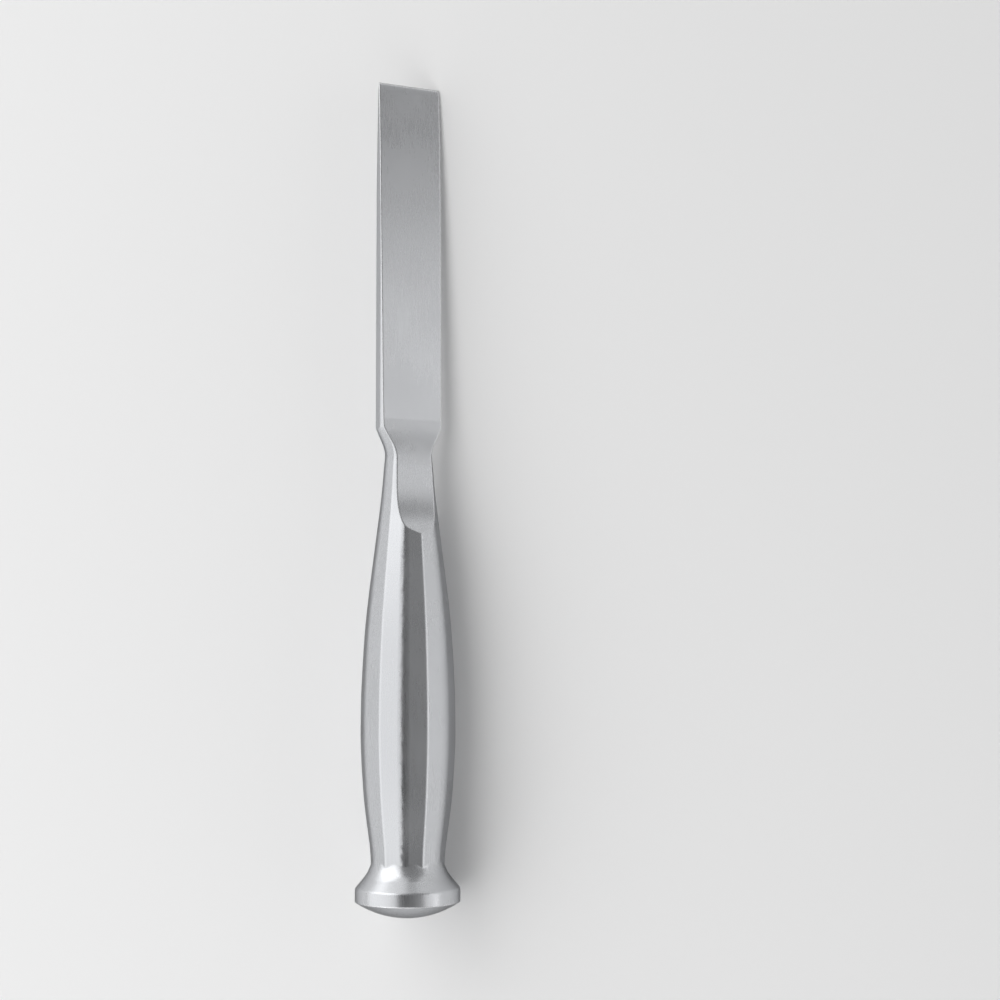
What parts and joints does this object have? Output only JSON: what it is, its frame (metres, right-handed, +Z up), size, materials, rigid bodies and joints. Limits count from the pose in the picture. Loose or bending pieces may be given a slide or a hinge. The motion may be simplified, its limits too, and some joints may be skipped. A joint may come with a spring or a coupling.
{
  "type": "osteotome",
  "caption": "Straight bone osteotome: flat blade ground on both faces to a square edge, narrow neck, swelled faceted handle and flared head with a domed striking face.",
  "frame": {"origin": "centre of the bounding box's underside, on the surface the tool lies on", "axes": "+Y along the tool from the striking head to the cutting edge, +Z up as it lies, +X to the right seen from the head"},
  "size_m": [0.0256, 0.205, 0.0257],
  "materials": {
    "steel": "satin ground"
  },
  "bodies": {
    "root": {"osteotome": "steel"}
  },
  "joints": []
}
